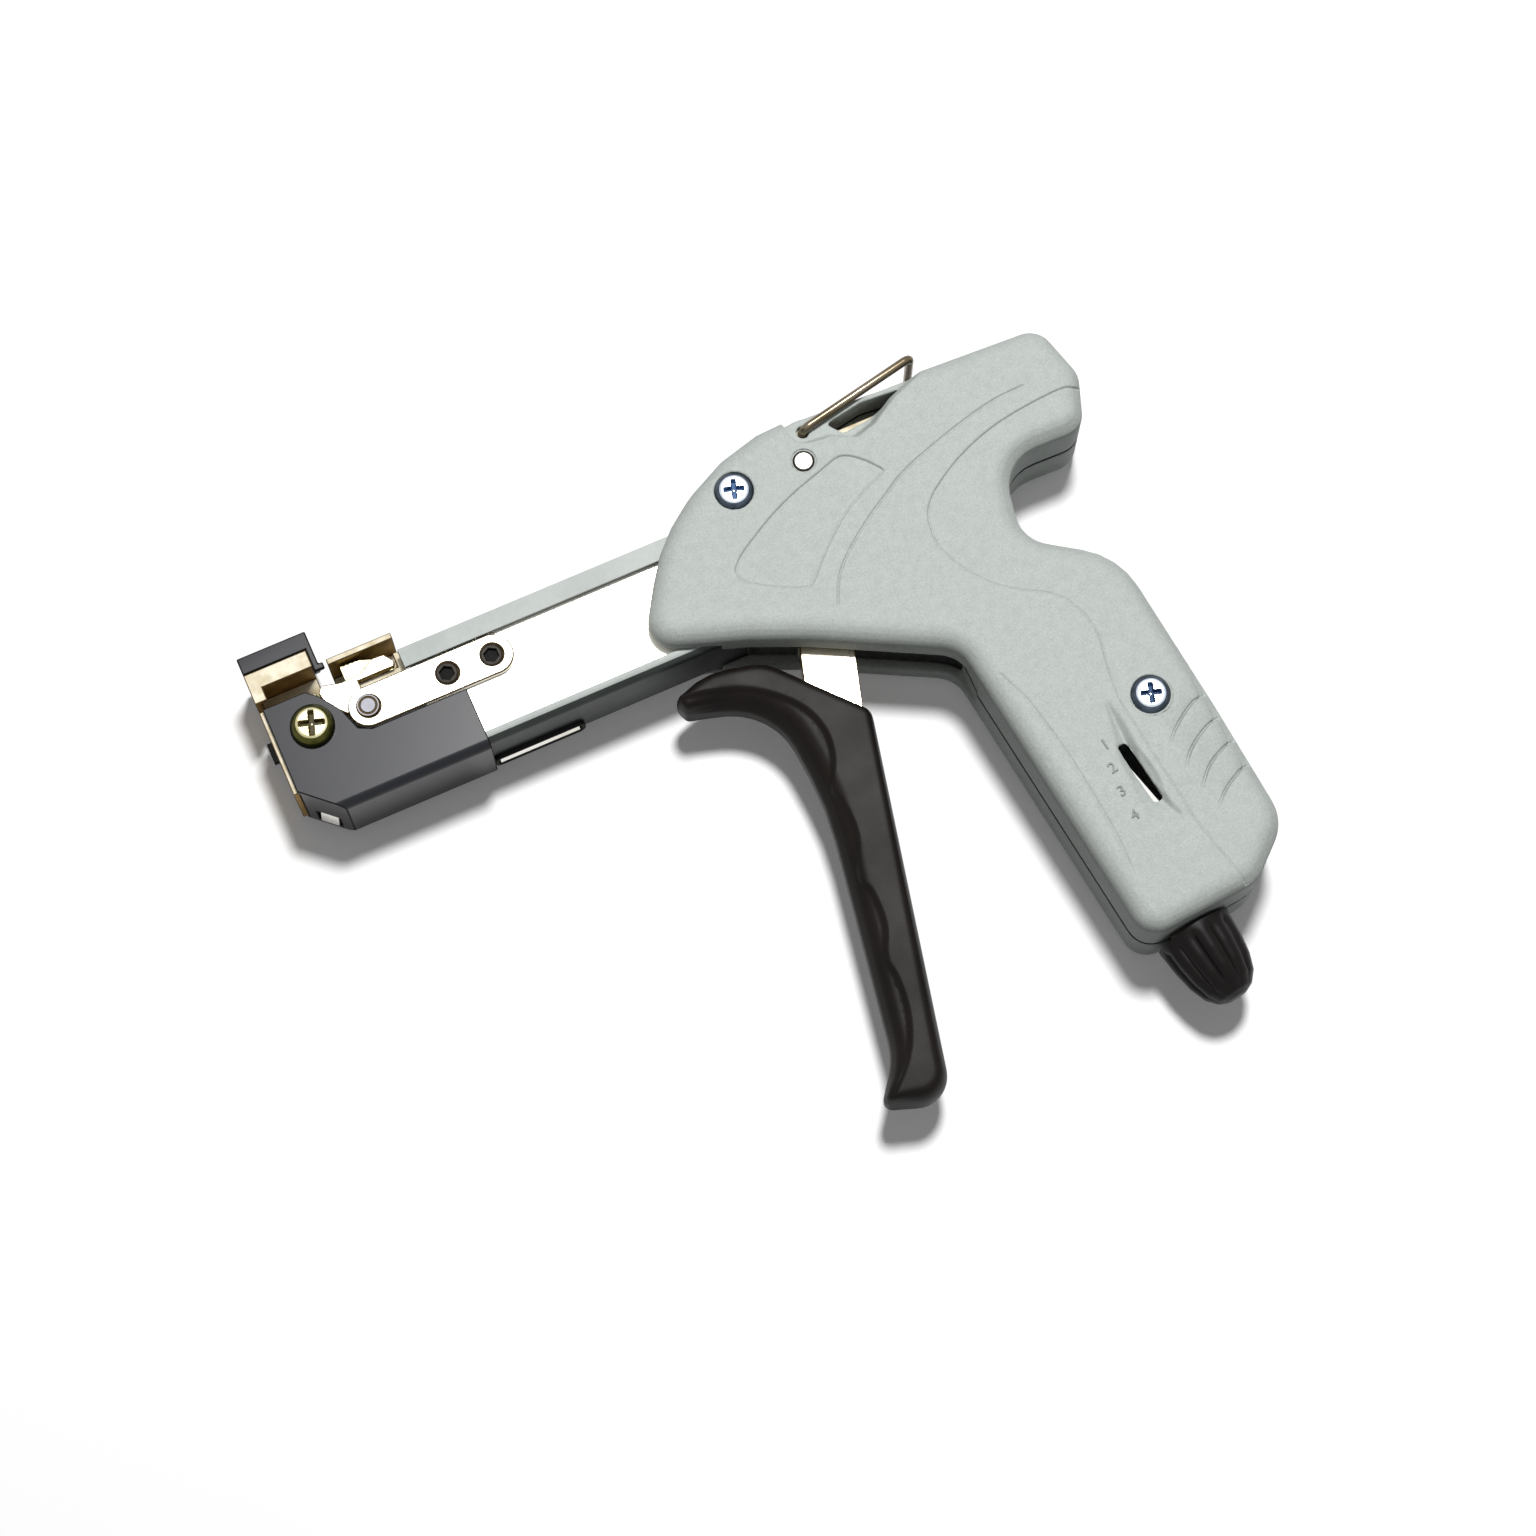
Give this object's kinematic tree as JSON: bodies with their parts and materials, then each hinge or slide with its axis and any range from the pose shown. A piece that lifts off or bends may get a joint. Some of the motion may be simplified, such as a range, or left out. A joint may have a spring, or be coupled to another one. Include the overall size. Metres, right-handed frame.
{
  "type": "cable tie tensioning tool",
  "caption": "Pistol-grip hand tool that tensions and cuts steel cable ties: side-entry nose, squeeze trigger with sliding gripper, cut-off link and a knob that sets the tension",
  "frame": {"origin": "middle of the tie slot at the front face of the nose, in the parting plane of the housing", "axes": "+X from the nose to the rear along the barrel, +Y to the top of the tool, +Z to the near side; the tool lies on its far side"},
  "size_m": [0.1806, 0.1475, 0.0269],
  "materials": {
    "hammer_paint": "light grey textured paint on die-cast halves",
    "barrel_paint": "light grey paint on folded sheet",
    "yellow_zinc": "yellow passivated zinc",
    "black_gloss": "black gloss finish",
    "nickel": "bright nickel plate",
    "steel": "machined steel",
    "black_oxide": "black oxide",
    "grip_black": "satin black moulded plastic",
    "knob_black": "black moulded plastic",
    "white_plastic": "white moulded plastic"
  },
  "bodies": {
    "frame": {"housing_near": "hammer_paint", "housing_far": "hammer_paint", "housing_screws": "nickel", "trigger_pin": "nickel", "barrel": "barrel_paint", "nose_plate": "yellow_zinc", "hook_cap": "black_gloss", "nose_cover": "black_gloss", "nose_screw": "yellow_zinc", "nose_bush": "steel", "bail_bracket": "nickel", "trigger_spring": "steel", "rocker_pin": "steel", "knob_bush": "steel", "tension_spring": "steel", "plunger": "steel"},
    "trigger": {"trigger_lever": "nickel", "trigger_grip": "grip_black"},
    "puller": {"pull_bar": "steel", "pull_pin": "steel", "gripper": "yellow_zinc", "pawl_pin": "steel"},
    "pawl": {"pawl": "nickel"},
    "cutoff": {"cutoff_bar": "nickel", "link_plate": "nickel", "socket_screws": "black_oxide", "link_pin": "nickel"},
    "cutter": {"cutter_lever": "nickel"},
    "rocker": {"rocker": "steel"},
    "knob": {"knob": "knob_black", "tension_rod": "steel"},
    "nut": {"tension_nut": "white_plastic"},
    "bail": {"bail": "nickel"}
  },
  "joints": [
    {"name": "trigger_hinge", "type": "hinge", "parent": "frame", "child": "trigger", "pos_m": [0.1202, 0.0022, 0], "axis": [0, 0, 1], "range_deg": [0, 18], "stiffness_Nm_per_rad": 0.3},
    {"name": "pull_slide", "type": "slide", "parent": "frame", "child": "puller", "axis": [1, 0, 0], "range_m": [0, 0.0062]},
    {"name": "pawl_hinge", "type": "hinge", "parent": "puller", "child": "pawl", "pos_m": [0.02648, -0.0003, 0], "axis": [0, 0, 1], "range_deg": [0, 10]},
    {"name": "cutoff_slide", "type": "slide", "parent": "frame", "child": "cutoff", "axis": [-1, 0, 0], "range_m": [0, 0.0015]},
    {"name": "cutter_hinge", "type": "hinge", "parent": "cutoff", "child": "cutter", "pos_m": [0.0206, -0.0084, 0], "axis": [0, 0, 1], "range_deg": [-20.1, 0]},
    {"name": "rocker_hinge", "type": "hinge", "parent": "frame", "child": "rocker", "pos_m": [0.153, -0.0381, 0], "axis": [0, 0, 1], "range_deg": [0, 3.1]},
    {"name": "knob_turn", "type": "hinge", "parent": "frame", "child": "knob", "pos_m": [0.152, -0.1143, 0], "axis": [-0.1392, 0.9903, 0], "range_deg": [-180, 2880]},
    {"name": "nut_slide", "type": "slide", "parent": "frame", "child": "nut", "axis": [-0.1392, 0.9903, 0], "range_m": [-0.00063, 0.01], "deforming": ["tension_spring"]},
    {"name": "bail_hinge", "type": "hinge", "parent": "frame", "child": "bail", "pos_m": [0.1235, 0.00989, 0], "axis": [0, 0, 1], "range_deg": [0, 90]}
  ],
  "couplings": [
    {"joint": "pull_slide", "follows": "trigger_hinge", "m_per_rad": 0.01973},
    {"joint": "cutter_hinge", "follows": "cutoff_slide", "rad_per_m": -232.6},
    {"joint": "rocker_hinge", "follows": "cutoff_slide", "rad_per_m": 35},
    {"joint": "knob_turn", "follows": "nut_slide", "rad_per_m": 5025.1}
  ]
}
